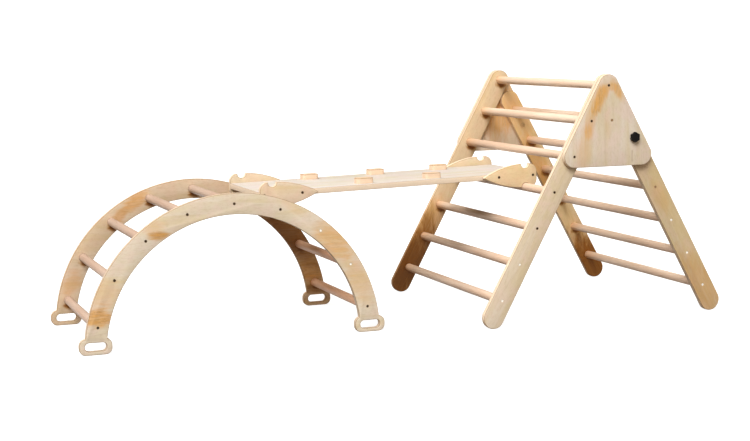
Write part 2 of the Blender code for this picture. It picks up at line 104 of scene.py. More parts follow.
def makeLamps():
    for name, (source, spread, strength, colour) in studio["lamps"].items():
        bpy.ops.object.light_add(type="SUN")
        lamp = bpy.context.object
        lamp.name = name
        lamp.data.energy = strength
        lamp.data.angle = math.radians(spread)
        lamp.data.color = colour
        lamp.rotation_euler = Vector(source).to_track_quat("Z", "Y").to_euler()


# Plain white to the camera, and a soft warm light on the wood, weaker from below
def makeSky():
    sky = bpy.data.worlds.new("studioSky")
    bpy.context.scene.world = sky
    p = Paint(sky)
    upwards = p.axisOf(p.coords("Generated"), 2)
    share = p.step(upwards, -studio["skyBlend"], studio["skyBlend"])
    tint = p.mix(share, studio["skyBelow"] + (1,), studio["skyAbove"] + (1,))
    lit = p.node("ShaderNodeBackground", None, {"Color": tint, "Strength": studio["skyStrength"]})
    seen = p.node("ShaderNodeBackground", None, {"Color": (1, 1, 1, 1), "Strength": studio["skyToCamera"]})
    toCamera = p.node("ShaderNodeLightPath", None, None, "Is Camera Ray")
    either = p.node("ShaderNodeMixShader", None, {0: toCamera, 1: lit, 2: seen})
    p.plug(p.tree.nodes["World Output"].inputs["Surface"], either)


# The floor is seen, but casts no shadow and leaves the light from below to the sky
def makeFloor():
    clearSelection()
    bpy.ops.mesh.primitive_plane_add(size=studio["floorSize"])
    floor = nameNew("floor")
    floor.data.materials.append(floorMaterial())
    floor.visible_diffuse = False
    floor.visible_shadow = False


# Shader maths: a wire stands for a socket, and sums on wires add Math nodes
class Wire:
    def __init__(self, paint, socket):
        self.paint = paint
        self.socket = socket

    def __add__(self, other):
        return self.paint.maths("ADD", self, other)

    __radd__ = __add__

    def __sub__(self, other):
        return self.paint.maths("SUBTRACT", self, other)

    def __rsub__(self, other):
        return self.paint.maths("SUBTRACT", other, self)

    def __mul__(self, other):
        return self.paint.maths("MULTIPLY", self, other)

    __rmul__ = __mul__


# The node tree of a material or a world, and the one way in which nodes are added to it
class Paint:
    def __init__(self, owner):
        owner.use_nodes = True
        self.owner = owner
        self.tree = owner.node_tree
        self.shader = self.tree.nodes.get("Principled BSDF")

    def plug(self, socket, value):
        if isinstance(value, Wire):
            self.tree.links.new(value.socket, socket)
        else:
            socket.default_value = value

    def node(self, kind, settings=None, inputs=None, output=0):
        made = self.tree.nodes.new(kind)
        for key, value in (settings or {}).items():
            setattr(made, key, value)
        for key, value in (inputs or {}).items():
            self.plug(made.inputs[key], value)
        return Wire(self, made.outputs[output])

    def maths(self, operation, *values):
        return self.node("ShaderNodeMath", {"operation": operation}, dict(enumerate(values)))

    def size(self, value):
        return self.maths("ABSOLUTE", value)

    def mix(self, factor, first, second, way="MIX"):
        settings = {"data_type": "RGBA", "blend_type": way}
        return self.node("ShaderNodeMix", settings, {0: factor, 6: first, 7: second}, 2)

    def tinted(self, colour, tint):
        return self.mix(1.0, colour, (*tint[:3], 1), "MULTIPLY")

    def step(self, value, start, end, low=0.0, high=1.0):
        settings = {"interpolation_type": "SMOOTHSTEP"}
        return self.node("ShaderNodeMapRange", settings, {0: value, 1: start, 2: end, 3: low, 4: high})

    def noise(self, where, scale, detail=3.0, roughness=0.5, warp=0.0):
        shape = {"Scale": scale, "Detail": detail, "Roughness": roughness, "Distortion": warp}
        return self.node("ShaderNodeTexNoise", None, {"Vector": where, **shape})

    def stretch(self, where, amounts):
        return self.node("ShaderNodeVectorMath", {"operation": "MULTIPLY"}, {0: where, 1: amounts})

    # Drawn out along the grain: a pattern is so many times finer across it
    def grained(self, where, grain, fineness):
        return self.stretch(where, tuple(1 if axis == grain else fineness for axis in "XYZ"))

    # Layers of colour over a first one. A row is (pattern, where it starts and is full, share, colour).
    def layers(self, patterns, first, look):
        colour = first
        for pattern, start, full, share, over in look["layers"]:
            colour = self.mix(self.step(patterns[pattern], start, full) * share, colour, look[over])
        return colour

    def moved(self, where, amounts):
        return self.node("ShaderNodeVectorMath", {"operation": "ADD"}, {0: where, 1: amounts})

    def coords(self, kind):
        return self.node("ShaderNodeTexCoord", None, None, kind)

    def axisOf(self, where, output):
        return self.node("ShaderNodeSeparateXYZ", None, {0: where}, output)

    def dot(self, where, axis):
        return self.node("ShaderNodeVectorMath", {"operation": "DOT_PRODUCT"}, {0: where, 1: axis}, "Value")

    # Coordinates of the piece's own frame: where it stands, and how it is turned
    def place(self, spot=(0, 0, 0), turn=(0, 0, 0)):
        inputs = {0: self.coords("Object"), 1: spot, 2: turn}
        return self.node("ShaderNodeMapping", {"vector_type": "TEXTURE"}, inputs)

    def finish(self, colour, roughness, height, depth, more):
        bump = {"Strength": 1.0, "Distance": depth, "Height": height}
        normal = self.node("ShaderNodeBump", None, bump)
        for key, value in {"Base Color": colour, "Roughness": roughness, "Normal": normal, **more}.items():
            self.plug(self.shader.inputs[key], value)
        return self.owner


def newPaint(name):
    return Paint(bpy.data.materials.new(name))


# A colour as seen on a screen, 0 to 255, as the linear numbers that a shader takes
def tone(red, green, blue):
    shares = [part / 255 for part in (red, green, blue)]
    linear = [share / 12.92 if share < 0.04045 else ((share + 0.055) / 1.055) ** 2.4 for share in shares]
    return (*linear, 1)


plyLook = {
    "pale": tone(232, 217, 196),
    "warm": tone(224, 205, 168),
    "rosy": tone(233, 209, 190),
    "late": tone(206, 184, 150),
    # Heartwood orange; in some far patches it is also painted warm shade
    "heartAndWarmShade": tone(228, 168, 84),
    # Dark figure lines, and the painted shade of the deep brown patches
    "deepBrownHeartAndShade": tone(132, 80, 20),
    "fleck": tone(172, 140, 104),
    "rim": tone(186, 168, 146),
    "edgePale": tone(252, 234, 212),
    "edgeDark": tone(214, 180, 140),
    # Each pattern: how much finer it is across the grain, its scale, detail, roughness and warp
    "patterns": {
        "flame": (9, 2.2, 4.0, 0.55, 0.9),
        "rings": (9, 7.0, 5.0, 0.6, 1.6),
        "streaks": (40, 9.0, 4.0, 0.65, 0.0),
        "pores": (40, 46.0, 2.0, 0.5, 0.0),
        "cloud": (1, 16.0, 3.0, 0.6, 0.5),
        "mottle": (2.2, 75.0, 4.0, 0.68, 0.0),
    },
    "layers": (
        ("flame", 0.35, 0.68, 1.0, "warm"),
        ("cloud", 0.42, 0.66, 0.7, "rosy"),
        ("rings", 0.52, 0.72, 0.38, "late"),
        ("mottle", 0.46, 0.74, 0.42, "late"),
        ("streaks", 0.5, 0.8, 0.2, "late"),
        ("pores", 0.62, 0.8, 0.4, "fleck"),
    ),
    "shiftWays": (1, 1.7, 2.3),
    "figureWidth": 0.055,
    "figureShare": 0.28,
    "rimShare": 0.8,
    "edgeShare": 0.85,
    "veneers": 13,
    "gritStretch": (60, 260, 60),
    "grit": (8.0, 2.0, 0.6),
    "crackFade": (0.0007, 0.0018, 0.6, 0.0),
    "roughness": (0.46, 0.62),
    "gloss": 0.15,
    "bump": 0.00012,
}
# Ragged outlines of the heartwood and painted shade patches: the grain's stretch, the noise and how far it
# moves the outline
patchOutlineLook = {
    "stretch": {"X": (5, 9, 22), "Z": (22, 9, 5)},
    "noise": (2.6, 5.0, 0.66, 0.9),
    "raggedness": 1.3,
    "fade": (0.4, 1.25),
}


# How much heartwood and painted shade show, and how deep they are. A patch is (x, z, its reach along its
# tilt and across it, the tilt in degrees, its strength, and how much of it is deep brown, if any is). The
# deep brown of the far sheets' patches is painted shade.
def woodAndShadeMasks(p, where, grain, heartAndShadePatches):
    look = patchOutlineLook
    ragged = p.noise(p.stretch(where, look["stretch"][grain]), *look["noise"])
    acrossX, upZ = p.axisOf(where, 0), p.axisOf(where, 2)
    total, deep = None, None
    for x, z, reachAlong, reachBeside, tilt, strength, *deepAndShadeShare in heartAndShadePatches:
        cosine, sine = math.cos(math.radians(tilt)), math.sin(math.radians(tilt))
        along = (acrossX - x) * (cosine / reachAlong) + (upZ - z) * (sine / reachAlong)
        beside = (upZ - z) * (cosine / reachBeside) - (acrossX - x) * (sine / reachBeside)
        distance = p.maths("SQRT", along * along + beside * beside) + (ragged - 0.5) * look["raggedness"]
        mask = p.step(distance, *look["fade"], strength, 0.0)
        total = mask if total is None else total + mask - total * mask
        if deepAndShadeShare:
            deeper = mask * deepAndShadeShare[0]
            deep = deeper if deep is None else p.maths("MAXIMUM", deep, deeper)
    return total, deep


# Birch plywood. Grain runs along the given axis of the piece's frame, and thick is the world axis
# that its faces are square to. Heartwood and painted shade patches show on the face that looks to -Y.
def plyMaterial(
    name, spot, turn, grain, thick, heartAndShadePatches=(), shift=0.0, warmth=0.0, tint=None, edgeShadeTint=None,
    edgeHeartAndShade=0.0, hairline=None,
):
    look = plyLook
    p = newPaint(name)
    own = p.moved(p.place(spot, turn), tuple(shift * way for way in look["shiftWays"]))
    patterns = {
        pattern: p.noise(p.grained(own, grain, fineness), *settings)
        for pattern, (fineness, *settings) in look["patterns"].items()
    }
    rings, streaks, mottle = patterns["rings"], patterns["streaks"], patterns["mottle"]
    colour = p.layers(patterns, look["pale"], look)
    if warmth:
        warmer = p.step(patterns["cloud"], 0.2, 0.8, warmth * 0.5, warmth)
        colour = p.mix(warmer, colour, look["heartAndWarmShade"])

    where, normal = p.coords("Object"), p.coords("Normal")
    if heartAndShadePatches:
        patchAndShadeMask, deepPatchAndShadeMask = total, deep = woodAndShadeMasks(p, where, grain, heartAndShadePatches)
        facing = p.step(p.dot(normal, thick) * -1, 0.1, 0.5)
        total = total * facing
        deep = deep * facing if deep else None
        lively = p.step(rings, 0.3, 0.7, 0.72, 1.0) * p.step(mottle, 0.3, 0.7, 1.0, 0.82)
        colour = p.mix(total * lively, colour, look["heartAndWarmShade"])
        # Darker lines of figure run through the heartwood
        lines = p.step(p.size(rings - 0.5), 0.0, look["figureWidth"], look["figureShare"], 0.0)
        colour = p.mix(total * total * lines, colour, look["deepBrownHeartAndShade"])
        if deep:
            colour = p.mix(deep * p.step(streaks, 0.3, 0.75, 0.86, 1.0), colour, look["deepBrownHeartAndShade"])
    if hairline:
        x, z, reach = hairline
        crack = p.step(p.size(p.axisOf(where, 0) - x), *look["crackFade"])
        crack = crack * p.step(p.size(p.axisOf(where, 2) - z), reach * 0.8, reach, 1.0, 0.0)
        colour = p.mix(crack, colour, look["fleck"])
    if tint:
        colour = p.tinted(colour, tint)

    # Edges show the veneers: pale and darker layers in turn
    squareness = p.size(p.dot(normal, thick))
    onEdge = p.step(squareness, 0.55, 0.85, 1.0, 0.0)
    layer = p.maths("SINE", p.dot(where, thick) * (math.pi * look["veneers"] / stock["ply"]))
    grit = p.noise(p.stretch(where, look["gritStretch"]), *look["grit"])
    darker = p.step(layer + (grit - 0.5) * 0.9, -0.2, 0.7, 0.0, 0.75)
    edge = p.mix(darker, look["edgePale"], look["edgeDark"])
    # The patches reach onto the edges too, painted shade with them
    if edgeHeartAndShade:
        edge = p.mix(patchAndShadeMask * edgeHeartAndShade, edge, look["heartAndWarmShade"])
        edge = p.mix(deepPatchAndShadeMask * edgeHeartAndShade, edge, look["deepBrownHeartAndShade"])
    # Painted shade: the edge tint darkens edges that the lamps light brighter than their shade
    if edgeShadeTint:
        edge = p.tinted(edge, edgeShadeTint)
    colour = p.mix(onEdge * look["edgeShare"], colour, edge)
    # The rounded rims between face and edge are darker, a thin dark outline
    onRim = p.step(squareness, 0.2, 0.4) * p.step(squareness, 0.94, 0.995, look["rimShare"], 0.0)
    colour = p.mix(onRim, colour, p.tinted(colour, look["rim"]))
    height = streaks * 0.6 + patterns["pores"] * 0.4 + layer * onEdge * 0.5
    roughness = p.step(streaks, 0.2, 0.8, *look["roughness"])
    return p.finish(colour, roughness, height, look["bump"], {"Specular IOR Level": look["gloss"]})


beechLook = {
    "pale": tone(248, 226, 204),
    "rose": tone(240, 210, 184),
    "late": tone(222, 184, 152),
    "fleck": tone(190, 142, 108),
    "farEnd": tone(234, 170, 92),
    "farEndFade": (0.26, 0.42, 0.0, 0.5),
    # Each pattern: its stretch, scale, detail, roughness and warp
    "patterns": {
        "broad": ((12, 1, 12), 3.0, 3.0, 0.5, 0.6),
        "streaks": ((90, 2.2, 90), 4.0, 4.0, 0.62, 0.4),
        "flecks": ((140, 18, 140), 5.0, 1.5, 0.5, 0.0),
    },
    "layers": (
        ("broad", 0.3, 0.7, 1.0, "rose"),
        ("streaks", 0.48, 0.78, 0.55, "late"),
        ("flecks", 0.66, 0.78, 0.5, "fleck"),
    ),
    "roughness": (0.40, 0.55),
    "gloss": 0.28,
    "bump": 0.0001,
    "tints": {
        "paleBeech": (0.95, 0.95, 0.96),
        "goldenBeech": (0.82, 0.78, 0.76),
        # Painted light: a brighter copy for the rear rungs
        "litWhiteBeech": (1.05, 1.05, 1.07),
        "rosyBeech": (0.61, 0.57, 0.58),
        # Painted shade: a warm, darker copy for the arch rungs in shade
        "warmShadedBeech": (1.0, 0.78, 0.66),
    },
}


# Turned beech, with its grain along Y and the short dark flecks of its rays
def beechMaterial(name):
    look = beechLook
    p = newPaint(name)
    where = p.place()
    patterns = {
        pattern: p.noise(p.stretch(where, amounts), *settings)
        for pattern, (amounts, *settings) in look["patterns"].items()
    }
    streaks = patterns["streaks"]
    colour = p.layers(patterns, look["pale"], look)
    # The ladders' rungs are warmer towards their far ends
    colour = p.mix(p.step(p.axisOf(where, 1), *look["farEndFade"]), colour, look["farEnd"])
    colour = p.tinted(colour, look["tints"][name])
    roughness = p.step(streaks, 0.2, 0.8, *look["roughness"])
    height = streaks * 0.7 + patterns["flecks"] * 0.3
    return p.finish(colour, roughness, height, look["bump"], {"Specular IOR Level": look["gloss"]})


# Plated steel. Some screw heads in the photograph catch the light, and others are dark.
steelLook = {
    "spots": (420.0, 4.0, 0.6),
    "brushed": (240.0, 3.0, 0.5),
    "brushedStretch": (1, 1, 12),
    "bump": 0.00004,
    # Each finish: its two tones, how metallic it is, and its roughness from and to
    "finishes": {
        "screwDark": (tone(80, 62, 44), tone(48, 36, 26), 0.7, 0.42, 0.62),
        # Painted highlight: a near-white copy of the same steel, for the heads that catch the light
        "screwPaintedHighlight": (tone(252, 248, 238), tone(214, 208, 198), 0.75, 0.24, 0.44),
        "screwBrown": (tone(176, 142, 104), tone(128, 98, 68), 0.6, 0.42, 0.62),
        "insertSteel": (tone(228, 188, 130), tone(188, 146, 96), 0.1, 0.47, 0.67),
    },
}


def steelMaterial(name):
    look = steelLook
    first, second, metallic, *roughness = look["finishes"][name]
    p = newPaint(name)
    where = p.place()
    spots = p.noise(where, *look["spots"])
    brushed = p.noise(p.stretch(where, look["brushedStretch"]), *look["brushed"])
    colour = p.mix(p.step(spots, 0.35, 0.7), first, second)
    dulling = p.step(brushed, 0.2, 0.8, *roughness)
    return p.finish(colour, dulling, brushed + spots, look["bump"], {"Metallic": metallic})


# Black moulded plastic with a fine spark-eroded grain
knobLook = {
    "dark": tone(7, 5, 5),
    "light": tone(18, 15, 14),
    "grain": (1900.0, 3.0, 0.6),
    "haze": (90.0, 3.0, 0.5),
    "roughness": (0.42, 0.6),
    "gloss": 0.12,
    "bump": 0.00006,
}


def knobMaterial():
    look = knobLook
    p = newPaint("blackKnobPlastic")
    where = p.place()
    grain, haze = p.noise(where, *look["grain"]), p.noise(where, *look["haze"])
    colour = p.mix(p.step(haze, 0.3, 0.8), look["dark"], look["light"])
    roughness = p.step(haze, 0.2, 0.8, *look["roughness"])
    return p.finish(colour, roughness, grain, look["bump"], {"Specular IOR Level": look["gloss"]})


def floorMaterial():
    p = newPaint("paleFloor")
    cloud = p.noise(p.place(), 0.7, 2.0, 0.5)
    pale, dim = ([part * share for part in studio["floorTone"]] for share in (1, studio["floorDim"]))
    colour = p.mix(p.step(cloud, 0.2, 0.8), (*pale, 1), (*dim, 1))
    glow = {"Emission Color": (1, 1, 1, 1), "Emission Strength": studio["floorGlow"]}
    return p.finish(colour, 0.9, cloud, 0.0001, glow)


# Modelling helpers
def clearSelection():
    if bpy.context.mode != "OBJECT":
        bpy.ops.object.mode_set(mode="OBJECT")
    bpy.ops.object.select_all(action="DESELECT")


def takeUp(piece):
    clearSelection()
    bpy.context.view_layer.objects.active = piece
    piece.select_set(True)


def nameNew(name):
    piece = bpy.context.object
    piece.name = name
    piece.data.name = name
    return piece


def applyPlace(piece):
    takeUp(piece)
    bpy.ops.object.transform_apply(location=True, rotation=True, scale=True)


# A round piece along Y
def addRound(name, radius, depth, sides, place=(0, 0, 0), tilt=0.0):
    clearSelection()
    bpy.ops.mesh.primitive_cylinder_add(
        vertices=sides, radius=radius, depth=depth, location=place, rotation=(quarterTurn, tilt, 0)
    )
    piece = nameNew(name)
    applyPlace(piece)
    return piece


# The same on the rear ladder's pivot
def onPivot(name, radius, depth, sides, y):
    return addRound(name, radius, depth, sides, (pivot.x, y, pivot.z))


def addBox(name, size, place=(0, 0, 0)):
    clearSelection()
    bpy.ops.mesh.primitive_cube_add(size=1, location=place)
    piece = nameNew(name)
    piece.scale = size
    applyPlace(piece)
    return piece


# In edit mode: selects what the test says, by its place
def pick(piece, kind, test):
    bpy.ops.mesh.select_mode(type=kind)
    bpy.ops.mesh.select_all(action="DESELECT")
    mesh = bmesh.from_edit_mesh(piece.data)
    group = {"VERT": mesh.verts, "EDGE": mesh.edges, "FACE": mesh.faces}[kind]
    for item in group:
        if test(item):
            item.select_set(True)
    bmesh.update_edit_mesh(piece.data)


def startEdit(piece):
    takeUp(piece)
    bpy.ops.object.mode_set(mode="EDIT")
    bpy.ops.mesh.select_all(action="SELECT")


def endEdit():
    bpy.ops.object.mode_set(mode="OBJECT")


def drop(piece):
    bpy.data.objects.remove(piece, do_unlink=True)


# In edit mode: rounds the edges that are picked
def bevelPicked(width, steps):
    bpy.ops.mesh.bevel(offset=width, segments=steps, affect="EDGES", clamp_overlap=False)


# In edit mode: draws what is picked towards the Y axis
def squeeze(share):
    bpy.ops.transform.resize(value=(share, 1, share), center_override=(0, 0, 0))


def mergeDoubles(piece, reach):
    startEdit(piece)
    bpy.ops.mesh.remove_doubles(threshold=reach)
    endEdit()


# True for an edge in one of the two flat faces that are square to the given axis
def rimEdge(edge, axis=1):
    first, second = (vertex.co[axis] for vertex in edge.verts)
    sharp = len(edge.link_faces) == 2 and edge.calc_face_angle(0) > math.radians(50)
    return sharp and abs(first - second) < 1e-6


def roundRims(piece, width, steps, axis=1, test=None):
    startEdit(piece)
    pick(piece, "EDGE", lambda edge: rimEdge(edge, axis) and (test is None or test(edge)))
    bevelPicked(width, steps)
    endEdit()


def smoothOver(piece, angle=38):
    takeUp(piece)
    bpy.ops.object.shade_smooth_by_angle(angle=math.radians(angle))


def joinAll(pieces, name):
    clearSelection()
    for piece in pieces:
        piece.select_set(True)
    bpy.context.view_layer.objects.active = pieces[0]
    bpy.ops.object.join()
    joined = bpy.context.object
    joined.name = name
    return joined


def combine(piece, other, way="DIFFERENCE"):
    takeUp(piece)
    boolean = piece.modifiers.new("shape", "BOOLEAN")
    boolean.operation = way
    boolean.solver = "EXACT"
    boolean.object = other
    bpy.ops.object.modifier_apply(modifier=boolean.name)
    drop(other)


def moveMesh(piece, matrix):
    piece.matrix_world = matrix
    applyPlace(piece)


def copyPiece(source, name, matrix):
    piece = source.copy()
    piece.data = source.data.copy()
    piece.name = name
    piece.data.name = name
    bpy.context.scene.collection.objects.link(piece)
    moveMesh(piece, matrix)
    return piece


# Mirrored to the other side of the set, with its faces turned outwards again
def mirrorPiece(source, name):
    piece = copyPiece(source, name, Matrix.Diagonal((1, -1, 1, 1)))
    startEdit(piece)
    bpy.ops.mesh.normals_make_consistent(inside=False)
    endEdit()
    return piece


def settle(piece, material, body, slot, *replaced):
    piece.data.materials.clear()
    piece.data.materials.append(material)
    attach(piece, body)
    if replaced:
        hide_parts(*replaced)


# A near piece and its far twin. In the body's name, {} stands for the side.
def settlePair(near, node, materials, body, slot):
    far = mirrorPiece(near, f"looks_{node}_far")
    for label, piece in (("near", near), ("far", far)):
        settle(piece, materials[label], body.format(label), slot, f"{node}_{label}")


def bothSides(material):
    return {"near": material, "far": material}


# The same for sheets of ply, each with its own look. The far one gets painted shadow under its rungs.
def settleSheets(near, node, looks, spot, turn, grain, body, rungs=()):
    smoothOver(near)
    materials = {}
    for label in sideWays:
        look = dict(looks[label])
        if label == "far":
            look["heartAndShadePatches"] += shadeUnderRungs(rungs)
        materials[label] = plyMaterial(f"birch_{node}_{label}", spot, turn, grain, (0, 1, 0), **look)
    settlePair(near, node, materials, body, "birch_ply")


# Painted contact shadow under the rungs' ends: where the shadow lies from the rung, its reach along
# and across, its strength and how much of it is deep brown
rungContactShade = {"offset": (0.006, -0.017), "reach": (0.022, 0.014), "strength": 1.0, "deep": 1.0}


def shadeUnderRungs(spots):
    look = rungContactShade
    (right, up), (along, beside) = look["offset"], look["reach"]
    rest = (along, beside, 0, look["strength"], look["deep"])
    return tuple((spot.x + right, spot.z + up, *rest) for spot in spots)


def middleOf(node):
    low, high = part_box(node)
    return (low + high) / 2


def flat(x, z):
    return Vector((x, 0, z))


# Sizes that several pieces share. A rim or corner in brackets is its width and its steps.
stock = {
    "ply": 0.018, "rungRadius": 0.014, "socketDepth": 0.007, "gap": 0.0003,
    "rim": (0.002, 3), "mergeReach": 2e-5,
    "pitRadius": 0.0048, "pitFloor": 0.0024, "pitDepth": 0.0025, "pitSides": 24,
    "roundSides": 48, "boreSides": 40, "cutLength": 0.1,
}

apex = middleOf("front_rung_1")
frontRungs = [middleOf(f"front_rung_{i}") for i in range(1, 8)]
rearRungs = [middleOf(f"rear_rung_{i}") for i in range(2, 8)]
archRungs = [middleOf(f"arch_rung_{i}") for i in range(1, 10)]
stopPlace = middleOf("stop_dowel_near")
pivot = Vector(next(joint["pos_m"] for joint in frame["joints"] if joint["name"] == "rear_ladder_fold"))
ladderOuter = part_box("front_rail_far")[1].y
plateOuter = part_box("gusset_plate_far")[1].y
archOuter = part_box("arch_panel_far")[1].y
frontDown = (frontRungs[-1] - frontRungs[0]).normalized()
rearDown = (rearRungs[-1] - rearRungs[0]).normalized()
halfAngle = math.atan2(-frontDown.x, -frontDown.z)


# Cutters for one near panel whose outer face is at -face: a countersunk pit for each screw, and
# a blind socket for each rung's end
def panelCutter(name, face, screwPlaces, socketPlaces):
    pieces = []
    for i, spot in enumerate(screwPlaces):
        clearSelection()
        bpy.ops.mesh.primitive_cone_add(
            vertices=stock["pitSides"],
            radius1=2 * stock["pitRadius"] - stock["pitFloor"],
            radius2=stock["pitFloor"],
            depth=2 * stock["pitDepth"],
            location=(spot.x, -face, spot.z),
            rotation=(-quarterTurn, 0, 0),
        )
        pieces.append(nameNew(f"{name}_pit{i}"))
        applyPlace(pieces[-1])
    radius, depth = stock["rungRadius"] + stock["gap"], 2 * stock["socketDepth"]
    for i, spot in enumerate(socketPlaces):
        place = (spot.x, stock["ply"] - face, spot.z)
        pieces.append(addRound(f"{name}_socket{i}", radius, depth, stock["roundSides"], place))
    return joinAll(pieces, name)


# Rails of the two ladders
railShape = {"width": 0.072, "headRise": 0.042, "sides": 72}

# Each rail's heartwood and painted shade patches, and how warm its sheet is
railLooks = {
    "front_rail": {
        "near": {"shift": 0.31, "warmth": 0.05, "tint": (0.97, 0.99, 1.03)},
        "far": {
            # Painted shade: the far rail's deep brown patch low down, under the board
            "heartAndShadePatches": ((0.262, 0.10, 0.22, 0.080, 61, 1.0, 0.97), (0.345, 0.26, 0.10, 0.06, 61, 0.5, 0.1)),
            "shift": 1.13, "warmth": 0.12, "tint": (0.95, 0.90, 0.77),
            "edgeShadeTint": (0.84, 0.80, 0.74), "edgeHeartAndShade": 0.9,
        },
    },
    "rear_rail": {
        "near": {
            "heartAndShadePatches": ((1.01, 0.08, 0.17, 0.06, -61, 0.5, 0.16), (0.84, 0.40, 0.07, 0.03, -61, 0.3)),
            "shift": 2.07, "warmth": 0.08, "tint": (0.81, 0.79, 0.70),
        },
        "far": {
            "heartAndShadePatches": (
                # Painted shade: the deep brown patches low down and under a rung
                (1.03, 0.05, 0.16, 0.08, -61, 1.0, 1.0),
                (0.70, 0.67, 0.16, 0.06, -61, 0.45),
                (0.775, 0.470, 0.10, 0.05, -61, 0.55, 0.08),
                (0.828, 0.386, 0.045, 0.045, -61, 0.7, 0.5),
            ),
            "shift": 3.41, "warmth": 0.16, "tint": (1.12, 1.06, 0.86), "edgeHeartAndShade": 0.7,
        },
    },
}


def makeRail(name, top, bottom, screwPlaces, socketPlaces):
    half = railShape["width"] / 2
    down = bottom - top
    tilt = math.atan2(-down.x, -down.z)
    rail = addRound(name, half, stock["ply"], railShape["sides"], tilt=math.pi / railShape["sides"])
    startEdit(rail)
    pick(rail, "VERT", lambda vertex: vertex.co.z < 0)
    bpy.ops.transform.translate(value=(0, 0, -down.length))
    endEdit()
    roundRims(rail, *stock["rim"])
    middle = stock["ply"] / 2 - ladderOuter
    moveMesh(rail, Matrix.Translation((top.x, middle, top.z)) @ Matrix.Rotation(tilt, 4, "Y"))
    combine(rail, panelCutter(name + "_cutter", ladderOuter, screwPlaces, socketPlaces))
    return rail, tilt


def settleRails(near, node, spot, tilt, body, rungs):
    settleSheets(near, node, railLooks[node], (spot.x, 0, spot.z), (0, tilt, 0), "Z", body, rungs)


def makeLadders():
    half = railShape["width"] / 2
    foot = apex + frontDown * (apex.z - half) / -frontDown.z
    rail, tilt = makeRail("looks_front_rail_near", apex, foot, frontRungs[3:], frontRungs)
    settleRails(rail, "front_rail", apex, tilt, "front_frame", frontRungs)

    head = rearRungs[0] - rearDown * railShape["headRise"]
    foot = rearRungs[-1] + rearDown * (rearRungs[-1].z - half) / -rearDown.z
    rail, tilt = makeRail("looks_rear_rail_near", head, foot, rearRungs, rearRungs)
    radius, depth = knobShape["boreRadius"], stock["cutLength"]
    combine(rail, onPivot("studHole", radius, depth, stock["boreSides"], -ladderOuter))
    radius = knobShape["insertRadius"] + stock["gap"]
    depth = 2 * (knobShape["insertLength"] + stock["gap"])
    combine(rail, onPivot("insertHole", radius, depth, stock["roundSides"], stock["ply"] - ladderOuter))
    settleRails(rail, "rear_rail", pivot, tilt, "rear_ladder", rearRungs)


# Gusset plates: a triangle with round corners, as a round disc pulled to three corners
plateShape = {"sides": 144, "holeSides": 32}
plateLooks = {
    "near": {
        "heartAndShadePatches": (
            (0.598, 0.724, 0.052, 0.026, 66, 1.0),
            (0.614, 0.757, 0.030, 0.022, 35, 0.9),
            (0.646, 0.768, 0.024, 0.014, 0, 0.55),
            (0.668, 0.757, 0.044, 0.017, -60, 0.8),
            (0.568, 0.655, 0.050, 0.022, 75, 0.5),
            (0.563, 0.624, 0.028, 0.018, 85, 0.6),
            (0.543, 0.560, 0.080, 0.030, 85, 0.4),
            (0.635, 0.655, 0.060, 0.016, 90, 0.16),
        ),
        "shift": 3.2, "tint": (0.965, 0.995, 1.07), "hairline": (0.7235, 0.541, 0.021),
    },
    "far": {
        "heartAndShadePatches": ((0.640, 0.66, 0.13, 0.08, 80, 0.85, 0.1),),
        "shift": 5.2, "warmth": 0.06, "tint": (1.0, 1.0, 1.02),
    },
}


def makePlates():
    plate = addRound("looks_gusset_plate_near", railShape["width"] / 2, stock["ply"], plateShape["sides"])
    startEdit(plate)
    # The lower left and right parts of the rim move out to the third rung of each ladder
    left, right = (-math.pi - halfAngle, -quarterTurn), (-quarterTurn, halfAngle)
    for corner, (start, end) in ((frontRungs[2], left), (rearRungs[1], right)):
        pick(plate, "VERT", lambda vertex: onArc(vertex.co, start, end))
        bpy.ops.transform.translate(value=flat(corner.x - apex.x, corner.z - apex.z))
    endEdit()
    roundRims(plate, *stock["rim"])
    middle = stock["ply"] / 2 - plateOuter
    moveMesh(plate, Matrix.Translation((apex.x, middle, apex.z)))
    combine(plate, panelCutter("plateCutter", plateOuter, frontRungs[:3] + [stopPlace], []))
    radius, depth = knobShape["boreRadius"], stock["cutLength"]
    combine(plate, onPivot("plateHole", radius, depth, plateShape["holeSides"], middle))
    spot = (apex.x, 0, apex.z)
    settleSheets(plate, "gusset_plate", plateLooks, spot, (0, 0, 0), "Z", "front_frame")


# True for a point of the untouched rim whose turn from +X towards +Z is in the given span
def onArc(place, start, end):
    turn = math.atan2(place.z, place.x)
    inside = any(start - 1e-6 <= turn - whole < end - 1e-6 for whole in (0, 2 * math.pi))
    return inside and flat(place.x, place.z).length < railShape["width"]


# Rungs of beech dowel, one model for each length, and which beech tint each rung gets. The rear
# rungs' brighter tint is painted light, and the last two arch rungs' warm tint is painted shade.
rungShape = {"rim": (0.0012, 2)}
rungWood = {
    "front": ("paleBeech",) * 2 + ("goldenBeech",) * 5,
    "rear": ("litWhiteBeech",) * 6,
    "arch": ("rosyBeech",) * 7 + ("warmShadedBeech",) * 2,
}


def makeRungMaster(name, face):
    length = 2 * (face - stock["ply"] + stock["socketDepth"] - stock["gap"])
    rung = addRound(name, stock["rungRadius"], length, stock["roundSides"])
    roundRims(rung, *rungShape["rim"])
    smoothOver(rung)
    return rung


def makeRungs(woods):
    ladderRung = makeRungMaster("ladderRung", ladderOuter)
    archRung = makeRungMaster("archRung", archOuter)
    for group, places, first, master, body in (
        ("front", frontRungs, 1, ladderRung, "front_frame"),
        ("rear", rearRungs, 2, ladderRung, "rear_ladder"),
        ("arch", archRungs, 1, archRung, "arch"),
    ):
        for i, spot in enumerate(places):
            node = f"{group}_rung_{first + i}"
            rung = copyPiece(master, "looks_" + node, Matrix.Translation((spot.x, 0, spot.z)))
            settle(rung, woods[rungWood[group][i]], body, "beech", node)
    for master in (ladderRung, archRung):
        drop(master)


